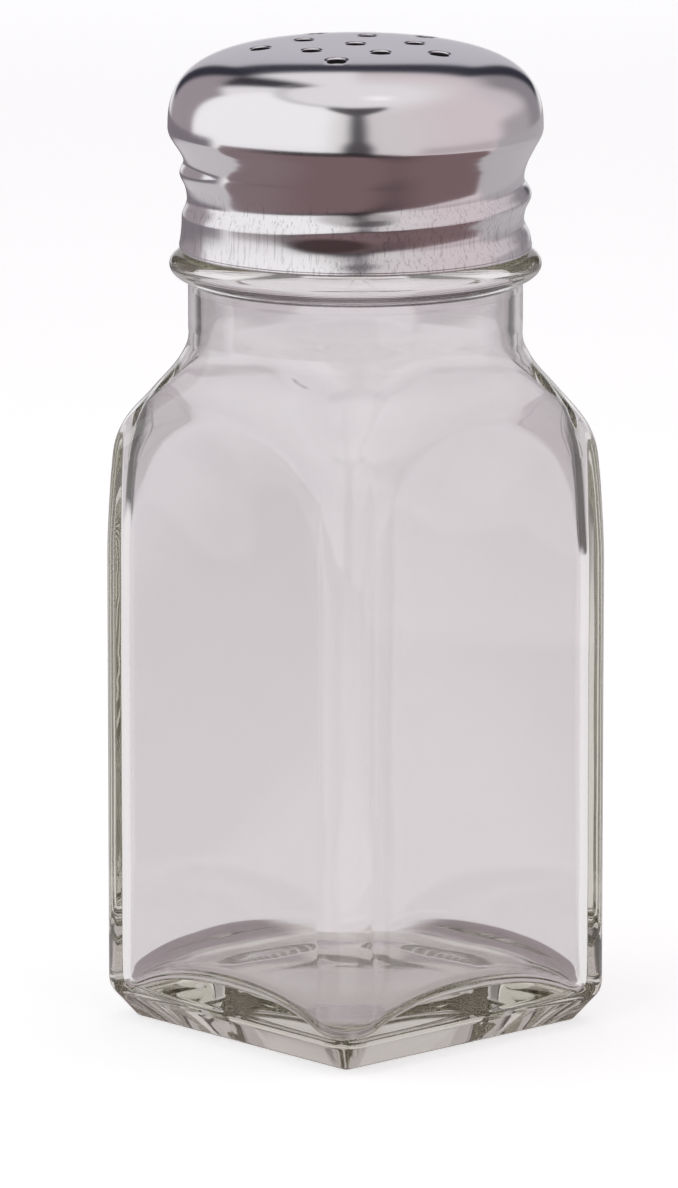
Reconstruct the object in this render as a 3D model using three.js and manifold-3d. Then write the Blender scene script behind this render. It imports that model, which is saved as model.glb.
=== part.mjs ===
// Square glass spice shaker with a screw-on domed metal cap.
// Lengths are in millimetres and +Z is up. The origin is the middle of the base, on the table.
// The jar is one moulded glass body. The cap is one drawn sheet: a pierced crown, a dome that
// rolls under, and a skirt with a right-hand thread rolled into it. The curled hem at the foot
// of the skirt is a solid of its own, because it rises with the cap but need not turn with it.

import * as THREE from 'three';
import { mergeVertices } from 'three/addons/utils/BufferGeometryUtils.js';
import Module from 'manifold-3d';

const wasm = await Module();
wasm.setup();

// Body of the jar
const bodySide = 38.1;
const bodyHeight = 58.4;
const heelInset = 3.1;
const heelHeight = 3.4;
const baseCornerRadius = 0.5;
const wallThickness = 1.9;
const innerCornerRadius = 3.3;

// Floor of the jar, inside and outside: the standing ring lies between the heel and the recess
const floorThickness = 6.0;
const floorFlatMargin = 5.65;
const floorCornerDrop = 4.1;
const standingRing = 2.45;
const recessDepth = 1.4;

// Shoulder, neck and collar: the neck is set in from the flat faces
const shoulderHeight = 12.4;
const shoulderInnerDrop = 0.6;
const neckSetIn = 2.0;
const neckHeight = 6.8;
const neckWall = 1.35;
const collarProud = 1.9;
const collarHeight = 2.95;

// Threaded mouth of the jar, a step narrower than the neck
const finishStep = 0.55;
const finishWall = 1.9;
const rimRise = 1.9;
const rimRounding = 0.7;
const threadPitch = 4.233;
const glassThreadWidth = 3.0;

// Sheet metal cap
const sheetThickness = 0.45;
const rolledDepth = 0.78;
const rolledWidth = 3.8;
const grooveStart = 2.45;
const skirtHeight = 8.36;
const underHeight = 4.0;
const domeOverhang = 1.15;
const crownHeight = 8.6;
const hemHeight = 0.85;
const hemThickness = 0.5;

// Pierced holes of the crown
const holeRadius = 1.0;
const innerHoleCircle = 6.05;
const outerHoleCircle = 9.7;

// Clearances and the overrun of every cut
const threadClearance = 0.22;
const seatClearance = 0.1;
const hemClearance = 0.3;
const cutOverrun = 2.0;

// Counts and angles, with turns measured from +X, counter-clockwise from above
const roundSegments = 48;
const cornerSegments = 5;
const threadRows = 16;
const crownRows = 9;
const underRows = 5;
const collarRows = 8;
const holeSides = 16;
const holesPerRing = 5;
const innerRingTurnShare = 0.75;
const outerRingTurnShare = 0.25;
const grooveStartTurns = -0.2;
const grooveTurns = 1.96;
const grooveFadeInShare = 0.12;
const grooveFadeOutShare = 0.25;
const glassThreadTurns = 1.3;
const glassThreadStartTurns = -0.45;
const glassThreadFadeShare = 0.08;

// Fullness of the dome's curves: 2 is an ellipse, more is squarer and less is straighter
const crownFullnessAcross = 3.6;
const crownFullnessUp = 2.65;
const underFullness = 1.3;

// Shoulder outline from the neck down to the corners: shares of its height and of its reach
const shoulderOutlineShares = [
  [0, 0],
  [0.09, 0.07],
  [0.415, 0.464],
  [0.685, 0.816],
  [0.83, 0.943],
  [1, 1],
  [1.25, 1.03],
];

// Floor outline from the flat middle out to the corners: shares of the reach and of the drop
const floorOutlineShares = [
  [0, 0],
  [0.3, 0.04],
  [0.55, 0.21],
  [0.8, 0.56],
  [1, 1],
  [1.15, 1.3],
];

// Recess outline from its edge to its middle: shares of its radius and of its depth
const recessOutlineShares = [
  [1, 0],
  [0.75, 0.44],
  [0.5, 0.75],
  [0.25, 0.94],
  [0, 1],
];

// How far the middle of a rounded rim lies inside its sharp corner, for a quarter circle
const rimMiddleShare = 1 - Math.SQRT1_2;

// Heights and radii that follow from the sizes above
const bodyCornerRadius = heelInset + baseCornerRadius;
const bodyReach = cornerReach(bodySide, bodyCornerRadius);
const innerSide = bodySide - 2 * wallThickness;
const innerReach = cornerReach(innerSide, innerCornerRadius);
const floorFlatRadius = innerSide / 2 - floorFlatMargin;
const recessRadius = bodySide / 2 - heelInset - standingRing;
const neckRadius = bodySide / 2 - neckSetIn;
const collarRadius = neckRadius + collarProud;
const finishRadius = neckRadius - finishStep;
const neckFoot = bodyHeight + shoulderHeight;
const collarMiddle = neckFoot + neckHeight + collarHeight / 2;
const collarTop = neckFoot + neckHeight + collarHeight;
const capFoot = collarTop + seatClearance;
const skirtTop = capFoot + skirtHeight;
const rimTop = skirtTop + rimRise;
const boreRadius = finishRadius - finishWall;
const neckInsideRadius = neckRadius - neckWall;
const skirtRadius = finishRadius + threadClearance + rolledDepth + sheetThickness;
const domeRadius = skirtRadius + domeOverhang;
const glassThreadHeight = skirtRadius - sheetThickness - threadClearance - finishRadius;
const rimMiddle = rimMiddleShare * rimRounding;
const equatorHeight = skirtTop + underHeight;
const sheetFoot = capFoot + hemHeight + hemClearance;

// Distance from the axis to a rounded corner of a square
function cornerReach(side, radius) {
  return (side / 2 - radius) * Math.SQRT2 + radius;
}

// Square prism with rounded corners from the floor level up, its ends cut in by the inset
function squarePrism(side, radius, bottom, top, inset, insetHeight) {
  const half = side / 2;
  const straight = half - radius;
  const outline = new THREE.Shape();
  outline.absarc(straight, straight, radius, 0, Math.PI / 2);
  outline.absarc(-straight, straight, radius, Math.PI / 2, Math.PI);
  outline.absarc(-straight, -straight, radius, Math.PI, 1.5 * Math.PI);
  outline.absarc(straight, -straight, radius, 1.5 * Math.PI, 2 * Math.PI);
  const prism = new THREE.ExtrudeGeometry(outline, {
    depth: top - bottom - 2 * insetHeight,
    curveSegments: cornerSegments,
    bevelEnabled: inset > 0,
    bevelSegments: 1,
    bevelSize: inset,
    bevelOffset: -inset,
    bevelThickness: insetHeight,
  });
  prism.translate(0, 0, bottom + insetHeight);
  return prism;
}

// Turned surface about +Z from [radius, height] points, which run from the bottom up
function turned(points) {
  const profile = points.map(([radius, height]) => new THREE.Vector2(radius, height));
  const lathe = new THREE.LatheGeometry(profile, roundSegments);
  lathe.rotateX(Math.PI / 2);
  return lathe;
}

// Smooth hump, 1 in the middle and 0 at half its width from the middle
function hump(distance, width) {
  if (Math.abs(distance) >= width / 2) {
    return 0;
  }
  return 0.5 + 0.5 * Math.cos((2 * Math.PI * distance) / width);
}

// How far a thread has grown after some turns from its start: 0 outside, 1 along its length
function grown(turns, total, fadeIn, fadeOut) {
  const rise = THREE.MathUtils.smoothstep(turns, 0, fadeIn);
  const fall = THREE.MathUtils.smoothstep(total - turns, 0, fadeOut);
  return rise * fall;
}

// Pushes the surface in or out along a right-hand helix: depth is negative for a groove.
// Every coil that passes near a point counts, so the sum over the coils is smooth.
function rollThread(geometry, thread) {
  const position = geometry.attributes.position;
  const coils = Math.ceil(Math.abs(thread.startTurns) + thread.turns) + 1;
  for (let i = 0; i < position.count; i += 1) {
    const x = position.getX(i);
    const y = position.getY(i);
    const z = position.getZ(i);
    const radius = Math.hypot(x, y);
    if (radius < thread.innermost || z < thread.bottom || z > thread.top) {
      continue;
    }
    const angleTurns = Math.atan2(y, x) / (2 * Math.PI);
    let push = 0;
    for (let coil = -coils; coil <= coils; coil += 1) {
      const along = angleTurns + coil;
      const middle = thread.height + threadPitch * along;
      const since = along - thread.startTurns;
      const size = grown(since, thread.turns, thread.fadeIn, thread.fadeOut);
      push += thread.depth * size * hump(z - middle, thread.width);
    }
    position.setXY(i, (x * (radius + push)) / radius, (y * (radius + push)) / radius);
  }
  return geometry;
}

// Closed solid from a geometry, its shared points merged first
function solidOf(geometry) {
  const bare = geometry.clone();
  bare.deleteAttribute('normal');
  bare.deleteAttribute('uv');
  const merged = mergeVertices(bare);
  return new wasm.Manifold(new wasm.Mesh({
    numProp: 3,
    vertProperties: new Float32Array(merged.attributes.position.array),
    triVerts: new Uint32Array(merged.index.array),
  }));
}

// Geometry from a closed solid, flat shaded
function geometryOf(solid) {
  const mesh = solid.getMesh();
  const geometry = new THREE.BufferGeometry();
  geometry.setAttribute('position', new THREE.BufferAttribute(mesh.vertProperties, 3));
  geometry.setIndex(new THREE.BufferAttribute(mesh.triVerts, 1));
  const flat = geometry.toNonIndexed();
  flat.computeVertexNormals();
  return flat;
}

// Shoulder points from the corners up to a round neck of the given radius and height
function shoulderOutline(topRadius, topHeight, reach) {
  const points = shoulderOutlineShares.map(([heightShare, reachShare]) => [
    topRadius + (reach - topRadius) * reachShare,
    topHeight - shoulderHeight * heightShare,
  ]);
  return points.reverse();
}

// Half of an ellipse that bulges out from the threaded mouth, from below to above
function collarOutline() {
  return steps(-Math.PI / 2, Math.PI / 2, collarRows).map((angle) => [
    finishRadius + (collarRadius - finishRadius) * Math.cos(angle),
    collarMiddle + (collarHeight / 2) * Math.sin(angle),
  ]);
}

// Evenly spaced heights from low to high, both ends included
function steps(low, high, count) {
  return Array.from({ length: count + 1 }, (_, i) => low + ((high - low) * i) / count);
}

// Outside of the square body, rounded into the neck by the turned shoulder
function bodySolid() {
  const prismTop = neckFoot + heelHeight + cutOverrun;
  const block = squarePrism(bodySide, bodyCornerRadius, 0, prismTop, heelInset, heelHeight);
  const shoulder = shoulderOutline(neckRadius, neckFoot, bodyReach);
  const wide = bodyReach + cutOverrun;
  const lowest = shoulder[0];
  const round = turned([
    [0, -cutOverrun],
    [wide, -cutOverrun],
    [wide, lowest[1] - cutOverrun],
    ...shoulder,
    [neckRadius - cutOverrun / 2, neckFoot + cutOverrun / 2],
    [0, neckFoot + cutOverrun / 2],
  ]);
  return solidOf(block).intersect(solidOf(round));
}

// Neck, collar and threaded mouth, down to a root inside the shoulder
function mouthSolid() {
  const rootFoot = neckFoot - shoulderHeight / 4;
  const finish = steps(collarTop, rimTop - rimRounding, threadRows);
  const mouth = turned([
    [0, rootFoot],
    [neckRadius, rootFoot],
    [neckRadius, collarMiddle - collarHeight / 2],
    ...collarOutline().filter(([radius]) => radius > neckRadius),
    ...finish.map((height) => [finishRadius, height]),
    [finishRadius - rimMiddle, rimTop - rimMiddle],
    [finishRadius - rimRounding, rimTop],
    [0, rimTop],
  ]);
  return solidOf(rollThread(mouth, {
    height: capFoot + grooveStart + threadPitch / 2,
    depth: glassThreadHeight,
    width: glassThreadWidth,
    startTurns: glassThreadStartTurns,
    turns: glassThreadTurns,
    fadeIn: glassThreadFadeShare,
    fadeOut: glassThreadFadeShare,
    innermost: finishRadius - rimRounding / 2,
    bottom: collarTop,
    top: rimTop - rimRounding,
  }));
}

// Hollow of the jar: square below, turned above, a little narrower again through the mouth
function cavitySolid() {
  const top = rimTop + cutOverrun;
  const block = squarePrism(innerSide, innerCornerRadius, 0, top, 0, 0);
  const floorReach = innerReach - floorFlatRadius;
  const floor = floorOutlineShares.map(([reachShare, dropShare]) => [
    floorFlatRadius + floorReach * reachShare,
    floorThickness - floorCornerDrop * dropShare,
  ]);
  const shoulder = shoulderOutline(neckInsideRadius, neckFoot - shoulderInnerDrop, innerReach);
  const wide = innerReach + cutOverrun;
  const round = turned([
    [0, floorThickness],
    ...floor,
    [wide, floor[floor.length - 1][1]],
    [wide, shoulder[0][1] - cutOverrun],
    ...shoulder,
    [neckInsideRadius, collarMiddle],
    [boreRadius, collarTop],
    [boreRadius, rimTop - rimRounding],
    [boreRadius + rimMiddle, rimTop - rimMiddle],
    [boreRadius + rimRounding, rimTop],
    [boreRadius + rimRounding, top + cutOverrun],
    [0, top + cutOverrun],
  ]);
  return solidOf(block).intersect(solidOf(round));
}

// Shallow round hollow under the base, so that the jar stands on a ring near its edges
function recessSolid() {
  const outline = recessOutlineShares.map(([radiusShare, depthShare]) => [
    radiusShare * recessRadius,
    depthShare * recessDepth,
  ]);
  return solidOf(turned([[0, -cutOverrun], [recessRadius, -cutOverrun], ...outline]));
}

function makeJar() {
  const outside = bodySolid().add(mouthSolid());
  return geometryOf(outside.subtract(cavitySolid()).subtract(recessSolid()));
}

// Outer outline of the cap's sheet from its foot to the crown
function capOutline() {
  const skirt = steps(sheetFoot, skirtTop, threadRows).map((height) => [skirtRadius, height]);
  const under = steps(0, Math.PI / 2, underRows).map((angle) => [
    skirtRadius + (domeRadius - skirtRadius) * Math.sin(angle) ** (2 / underFullness),
    equatorHeight - underHeight * Math.cos(angle) ** (2 / underFullness),
  ]);
  const crown = steps(0, Math.PI / 2, crownRows).map((angle) => [
    domeRadius * Math.cos(angle) ** (2 / crownFullnessAcross),
    equatorHeight + crownHeight * Math.sin(angle) ** (2 / crownFullnessUp),
  ]);
  const outline = [...skirt, ...under.slice(1), ...crown.slice(1, -1)];
  return [...outline, [0, equatorHeight + crownHeight]];
}

// The same outline moved in by the sheet's thickness, square to the sheet at each point
function insetOutline(outline, thickness) {
  return outline.map(([radius, height], i) => {
    const before = outline[Math.max(i - 1, 0)];
    const after = outline[Math.min(i + 1, outline.length - 1)];
    const along = new THREE.Vector2(after[0] - before[0], after[1] - before[1]).normalize();
    if (i === outline.length - 1) {
      return [0, height - thickness];
    }
    if (i === 0) {
      return [radius - thickness, height];
    }
    return [radius - thickness * along.y, height + thickness * along.x];
  });
}

// Straight pin that pierces the crown at a radius and a turn
function holePin(radius, turns) {
  const length = crownHeight;
  const pin = new THREE.CylinderGeometry(holeRadius, holeRadius, length, holeSides);
  pin.rotateX(Math.PI / 2);
  const angle = 2 * Math.PI * turns;
  const middle = equatorHeight + crownHeight;
  pin.translate(radius * Math.cos(angle), radius * Math.sin(angle), middle);
  return solidOf(pin);
}

// One hole in the middle and two rings of five, the outer ring between the inner ones
function pierce(sheet) {
  let pierced = sheet.subtract(holePin(0, 0));
  for (let i = 0; i < holesPerRing; i += 1) {
    const step = i / holesPerRing;
    pierced = pierced.subtract(holePin(innerHoleCircle, innerRingTurnShare + step));
    pierced = pierced.subtract(holePin(outerHoleCircle, outerRingTurnShare + step));
  }
  return pierced;
}

function makeCap() {
  const outer = capOutline();
  const inner = insetOutline(outer, sheetThickness);
  const sheet = rollThread(turned([...inner.reverse(), ...outer]), {
    height: capFoot + grooveStart,
    depth: -rolledDepth,
    width: rolledWidth,
    startTurns: grooveStartTurns,
    turns: grooveTurns,
    fadeIn: grooveFadeInShare,
    fadeOut: grooveFadeOutShare,
    innermost: skirtRadius - 2 * sheetThickness,
    bottom: sheetFoot,
    top: equatorHeight,
  });
  return geometryOf(pierce(solidOf(sheet)));
}

// Curled hem at the foot of the skirt: a ring of rounded section, flush with the skirt
function makeHem() {
  const outerRadius = skirtRadius;
  const innerRadius = skirtRadius - hemThickness;
  const round = hemThickness / 4;
  return turned([
    [innerRadius + round, capFoot],
    [outerRadius - round, capFoot],
    [outerRadius, capFoot + round],
    [outerRadius, capFoot + hemHeight - round],
    [outerRadius - round, capFoot + hemHeight],
    [innerRadius + round, capFoot + hemHeight],
    [innerRadius, capFoot + hemHeight - round],
    [innerRadius, capFoot + round],
    [innerRadius + round, capFoot],
  ]);
}

// Finishes: clear soda-lime glass, and polished stainless sheet
const glass = new THREE.MeshStandardMaterial({
  color: 0xd5dcd6,
  roughness: 0.05,
  metalness: 0,
  transparent: true,
  opacity: 0.35,
});
const polishedSteel = new THREE.MeshStandardMaterial({
  color: 0xc9c7cc,
  roughness: 0.15,
  metalness: 1,
});
const hemSteel = polishedSteel.clone();

function named(name, geometry, material) {
  const mesh = new THREE.Mesh(geometry, material);
  mesh.name = name;
  return mesh;
}

const group = new THREE.Group();
group.add(named('glass_jar', makeJar(), glass));
group.add(named('shaker_cap', makeCap(), polishedSteel));
group.add(named('cap_hem', makeHem(), hemSteel));

export default group;
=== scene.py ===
# %% [markdown]
# # A square glass shaker with a pierced steel cap
# The object is a table shaker: a pressed glass jar, square below and round at the neck, and a cap
# drawn from one sheet of stainless steel that screws onto it. This lesson dresses the working model
# of it, which is loaded first and never moved, with fine surfaces and finishes.

# %% Load the fixed frame
import math

import bpy
import numpy as np
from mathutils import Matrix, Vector
from mathutils.geometry import delaunay_2d_cdt


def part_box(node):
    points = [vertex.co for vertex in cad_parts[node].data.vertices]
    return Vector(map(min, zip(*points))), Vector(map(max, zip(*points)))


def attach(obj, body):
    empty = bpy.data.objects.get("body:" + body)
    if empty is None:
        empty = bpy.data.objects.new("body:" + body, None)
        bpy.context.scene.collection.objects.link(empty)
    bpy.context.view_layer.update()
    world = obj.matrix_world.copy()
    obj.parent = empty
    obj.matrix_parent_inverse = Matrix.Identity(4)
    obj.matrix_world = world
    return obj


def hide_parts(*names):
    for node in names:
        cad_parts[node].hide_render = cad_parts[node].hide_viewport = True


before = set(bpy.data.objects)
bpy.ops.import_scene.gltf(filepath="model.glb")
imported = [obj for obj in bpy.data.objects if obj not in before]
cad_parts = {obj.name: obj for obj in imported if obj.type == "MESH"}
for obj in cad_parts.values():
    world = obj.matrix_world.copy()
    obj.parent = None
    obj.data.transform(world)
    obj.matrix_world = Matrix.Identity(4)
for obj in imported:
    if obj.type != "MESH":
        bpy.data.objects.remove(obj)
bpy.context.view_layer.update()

# %% [markdown]
# ## Sizes
# Everything is in metres. The outer sizes are read from the frame, so that the fine surfaces sit
# exactly where the working parts are. The smaller ones, such as the wall of the glass or the depth
# of the rolled thread, are named here in millimetres times MM, as a drawing would give them.

# %% Sizes read from the frame
MM = 0.001
jar_low, jar_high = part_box("glass_jar")
cap_low, cap_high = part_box("shaker_cap")
hem_low, hem_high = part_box("cap_hem")

HALF_SIDE = jar_high.x
RIM_TOP = jar_high.z
DOME_RADIUS = cap_high.x
CROWN_TOP = cap_high.z
SKIRT_RADIUS = hem_high.x
CAP_FOOT = hem_low.z
print("half side, rim, crown in mm:", [round(v / MM, 3) for v in (HALF_SIDE, RIM_TOP, CROWN_TOP)])

# %% Sizes of the glass
HEEL_INSET = 3.1 * MM
HEEL_HEIGHT = 3.4 * MM
CORNER_RADIUS = 3.6 * MM
RECESS_RADIUS = 13.5 * MM
RECESS_DEPTH = 1.4 * MM
WALL = 1.9 * MM
INNER_CORNER = 3.3 * MM
FLOOR_HEIGHT = 6.0 * MM
FLOOR_FLAT_RADIUS = 11.5 * MM
FLOOR_DROP = 4.1 * MM
FLOOR_DROP_POWER = 2.6
FLOOR_FILLET = 3.0 * MM
NECK_RADIUS = 17.05 * MM
NECK_FOOT = 70.8 * MM
COLLAR_MIDDLE = 79.075 * MM
COLLAR_HEIGHT = 2.95 * MM
COLLAR_RADIUS = 18.95 * MM
FINISH_RADIUS = 16.5 * MM
BORE_RADIUS = 14.6 * MM
NECK_INSIDE = 15.7 * MM
RIM_ROUNDING = 0.7 * MM
THREAD_PITCH = 4.233 * MM
GLASS_THREAD_DEPTH = 0.55 * MM
GLASS_THREAD_WIDTH = 3.0 * MM

# %% Sizes of the steel
SHEET = 0.45 * MM
GROOVE_DEPTH = 0.55 * MM
GROOVE_WIDTHS = (3.8 * MM, 6.2 * MM)
BEAD_HEIGHT = 0.25 * MM
BEAD_WIDTH = 2.8 * MM
BEAD_ABOVE_GROOVE = 2.63 * MM
GROOVE_START = 2.45 * MM
EQUATOR = 93.01 * MM
HOLE_RADIUS = 1.0 * MM
INNER_HOLE_CIRCLE = 6.05 * MM
OUTER_HOLE_CIRCLE = 9.7 * MM

# %% [markdown]
# ## The camera
# The camera comes first, because every later choice is judged through it. It was fitted to the
# outline in the photograph: 11.6 degrees above the table, looking almost straight at a corner, from
# about 1.08 m away through a long lens. The image is taken as 678 by 1188 pixels.

# %% Camera
IMAGE_HEIGHT = 1188
CAMERA_AZIMUTH = math.radians(47.43)
CAMERA_ELEVATION = math.radians(11.6)
CAMERA_DISTANCE = 1.0813
PIXELS_PER_METRE = 9764
TARGET_RIGHT = -1.681 * MM
TARGET_HEIGHT = 44.64 * MM

VIEW_RIGHT = Vector((math.cos(CAMERA_AZIMUTH), math.sin(CAMERA_AZIMUTH), 0))
VIEW_AWAY = Vector((-math.sin(CAMERA_AZIMUTH), math.cos(CAMERA_AZIMUTH), 0))
UP = Vector((0, 0, 1))


def add_camera():
    """Camera on a line from the target, back by the distance and up by the elevation."""
    data = bpy.data.cameras.new("camera")
    data.sensor_fit = "AUTO"
    data.sensor_width = 36.0
    data.lens = PIXELS_PER_METRE * CAMERA_DISTANCE / IMAGE_HEIGHT * data.sensor_width
    data.clip_start, data.clip_end = 0.05, 50.0
    camera = bpy.data.objects.new("camera", data)
    bpy.context.scene.collection.objects.link(camera)
    back = UP * math.sin(CAMERA_ELEVATION) - VIEW_AWAY * math.cos(CAMERA_ELEVATION)
    target = VIEW_RIGHT * TARGET_RIGHT + UP * TARGET_HEIGHT
    camera.location = target + back * CAMERA_DISTANCE
    camera.rotation_mode = "QUATERNION"
    camera.rotation_quaternion = (-back).to_track_quat("-Z", "Y")
    bpy.context.scene.camera = camera
    return camera


camera = add_camera()
print("camera at", [round(v, 4) for v in camera.location], "lens", round(camera.data.lens, 1), "mm")

# %% [markdown]
# ## Helpers for meshes and nodes
# A surface here is a grid of points: rows run along a profile and columns run round the axis. Whole
# arrays are worked out with numpy and handed to Blender at once, which is fast and leaves no seam.


# %% Meshes from arrays
def add_mesh(name, points, faces, smooth=True):
    """Object from points and faces, at the origin, so that its place is in its mesh."""
    mesh = bpy.data.meshes.new(name)
    mesh.from_pydata(points.tolist(), [], faces)
    mesh.polygons.foreach_set("use_smooth", np.full(len(mesh.polygons), smooth))
    mesh.update()
    obj = bpy.data.objects.new(name, mesh)
    bpy.context.scene.collection.objects.link(obj)
    return obj


def grid_faces(rows, columns, first=0, closed=True):
    """Quads between neighbouring rows, wound so that they face outward when the columns run
    counter-clockwise and the rows run up the outside."""
    reach = columns if closed else columns - 1
    row, column = np.meshgrid(np.arange(rows - 1), np.arange(reach), indexing="ij")
    after = (column + 1) % columns
    corners = [row * columns + column, row * columns + after]
    corners += [(row + 1) * columns + after, (row + 1) * columns + column]
    return (np.stack(corners, -1).reshape(-1, 4) + first).tolist()


def fan_faces(pole, ring, outward):
    """Triangles from a pole to a closed ring of point numbers."""
    following = np.roll(ring, -1)
    pair = [following, ring] if outward else [ring, following]
    return np.stack([np.full(len(ring), pole), *pair], -1).tolist()


def revolve(radius, height, angle):
    """Points (r cos a, r sin a, z), where r and z may change along the rows and the columns."""
    radius, height, angle = np.broadcast_arrays(radius, height, angle)
    return np.stack([radius * np.cos(angle), radius * np.sin(angle), height], -1)


# %% Profiles
def curve_through(points, rows):
    """Smooth curve through the points: a cubic between each two, whose slopes are those of the
    parabola through each point and its neighbours. The parameter is the length of the chords."""
    points = np.asarray(points, float)
    chord = np.hypot(*np.diff(points, axis=0).T)
    at = np.concatenate([[0.0], np.cumsum(chord)])
    slope = np.gradient(points, at, axis=0, edge_order=2)
    place = np.linspace(0.0, at[-1], rows)
    k = np.clip(np.searchsorted(at, place, side="right") - 1, 0, len(chord) - 1)
    width = chord[k, None]
    s = (place - at[k])[:, None] / width
    start = (1 + 2 * s) * (1 - s) ** 2 * points[k] + s * (1 - s) ** 2 * width * slope[k]
    end = s**2 * (3 - 2 * s) * points[k + 1] - s**2 * (1 - s) * width * slope[k + 1]
    return start + end


def softened(points, cuts, rows=7):
    """Polyline whose inner corners are rounded. Each corner V gives way to the parabola
    (1-t)^2 A + 2 t (1-t) V + t^2 B, with A and B a cut's length from V along its two legs."""
    points = np.asarray(points, float)
    t = np.linspace(0.0, 1.0, rows)[:, None]
    path = [points[:1]]
    for before, corner, after, cut in zip(points, points[1:], points[2:], cuts):
        a = corner + (before - corner) * cut / np.linalg.norm(before - corner)
        b = corner + (after - corner) * cut / np.linalg.norm(after - corner)
        path.append((1 - t) ** 2 * a + 2 * t * (1 - t) * corner + t**2 * b)
    return np.concatenate([*path, points[-1:]])


def spaced(path, step):
    """The same path with points added, so that none is further than a step from the last."""
    pieces = [path[:1]]
    for start, end in zip(path, path[1:]):
        parts = max(1, math.ceil(np.linalg.norm(end - start) / step))
        pieces.append(start + (end - start) * (np.arange(1, parts + 1) / parts)[:, None])
    return np.concatenate(pieces)


def hump(distance, width):
    """Raised cosine: 1 in the middle, 0 from half the width on."""
    share = np.clip(np.abs(distance) / (width / 2), 0, 1)
    return 0.5 + 0.5 * np.cos(math.pi * share)


def smooth_rise(value, start, end):
    """3 s^2 - 2 s^3, which rises gently from 0 at the start to 1 at the end."""
    s = np.clip((value - start) / (end - start), 0, 1)
    return s * s * (3 - 2 * s)


def helix_height(angle, height, thread_height, start, turns, fade, widths):
    """How much of a thread's ridge is at each angle and height: the sum over its coils of a
    raised cosine across the coil, grown in and faded out over a share of a turn at its ends.
    The coil's middle climbs by one pitch a turn, right-handed, from +X. The two widths are for
    the sides below and above the middle."""
    total = np.zeros(np.broadcast(angle, height).shape)
    around = np.mod(angle, 2 * math.pi) / (2 * math.pi)
    for coil in range(-2, 4):
        along = around + coil - start
        middle = thread_height + THREAD_PITCH * (around + coil)
        size = smooth_rise(along, 0, fade[0]) * smooth_rise(turns - along, 0, fade[1])
        width = np.where(height < middle, *widths)
        total = total + size * hump(height - middle, width)
    return total


# %% [markdown]
# ## The glass jar
# The real jar is pressed and blown in a square mould. Below, its section is a square with rounded
# corners; above, a round shoulder cuts those flat faces in arches and runs into a round neck. Seen
# from outside each level is therefore the smaller of two outlines, the square and the circle, with
# the crease between them softened, as fire-polished glass has it. One polar grid can hold the whole
# skin, outside and inside, from the middle of the base over the rim and down to the inner floor.


# %% Outlines of the glass
def square_reach(angle, half, corner):
    """Distance from the axis to a square with rounded corners: half / cos f on the flats, and
    p cos g + sqrt(c^2 - (p sin g)^2) on the corners, where f is the angle from the nearest
    flat's middle, g the rest up to 45 degrees, p the distance to the corner's centre."""
    from_flat = np.abs(np.mod(angle + math.pi / 4, math.pi / 2) - math.pi / 4)
    to_corner = math.pi / 4 - from_flat
    centre = (half - corner) * math.sqrt(2)
    inside = np.maximum(corner**2 - (centre * np.sin(to_corner)) ** 2, 0)
    arc = centre * np.cos(to_corner) + np.sqrt(inside)
    return np.where(np.tan(from_flat) * half <= half - corner, half / np.cos(from_flat), arc)


def smooth_min(a, b, width):
    """The smaller of a and b, less w h (1 - h) near the crease, where h runs from 0 to 1."""
    h = np.clip(0.5 + (b - a) / (2 * width), 0, 1)
    return b + (a - b) * h - width * h * (1 - h)


def columns_around(face_steps, corner_steps):
    """Angles of the columns, evenly spaced along the flats and round the corners."""
    flat = HALF_SIDE - CORNER_RADIUS
    across = np.linspace(-flat, flat, face_steps, endpoint=False)
    turn = np.linspace(0, math.pi / 2, corner_steps, endpoint=False)
    corner_x = flat + CORNER_RADIUS * np.cos(turn)
    corner_y = flat + CORNER_RADIUS * np.sin(turn)
    face = np.arctan2(across, HALF_SIDE)
    quarter = np.concatenate([face, np.arctan2(corner_y, corner_x)])
    return (quarter[None, :] + np.arange(4)[:, None] * math.pi / 2).ravel()


ANGLES = columns_around(56, 22)
SHOULDER_SOFTNESS = 2.4 * MM
INNER_SOFTNESS = 3.0 * MM
SHOULDER_BLEND_HEIGHT = 49.0 * MM
print("columns round the jar:", len(ANGLES))


# %% Outside of the jar, from the middle of the base to the shoulder
def base_rows():
    """The recess is the parabola z = depth (1 - s^2); then the standing ring passes evenly from
    its circle to the square; then the heel and the flat side, with their edges softened."""
    share = np.linspace(0, 1, 11)[1:, None]
    recess = revolve(RECESS_RADIUS * share, RECESS_DEPTH * (1 - share**2), ANGLES)
    foot = HALF_SIDE - HEEL_INSET
    start = foot - 0.75 * MM
    sharp = CORNER_RADIUS - HEEL_INSET
    blend = np.linspace(0, 1, 5)[1:-1, None]
    square = square_reach(ANGLES, start, sharp)
    ring = revolve((1 - blend) * RECESS_RADIUS + blend * square, 0.0, ANGLES)
    path = softened(
        [(start, 0), (foot, 0), (HALF_SIDE, HEEL_HEIGHT), (HALF_SIDE, SHOULDER_BLEND_HEIGHT)],
        [0.45 * MM, 0.9 * MM],
    )
    path = np.concatenate([path[:-1], spaced(path[-2:], 3.2 * MM)[1:-1]])
    half, height = path[:, :1], path[:, 1:]
    corner = np.maximum(half - foot + sharp, 0.4 * sharp)
    return np.concatenate([recess, ring, revolve(square_reach(ANGLES, half, corner), height, ANGLES)])


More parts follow.
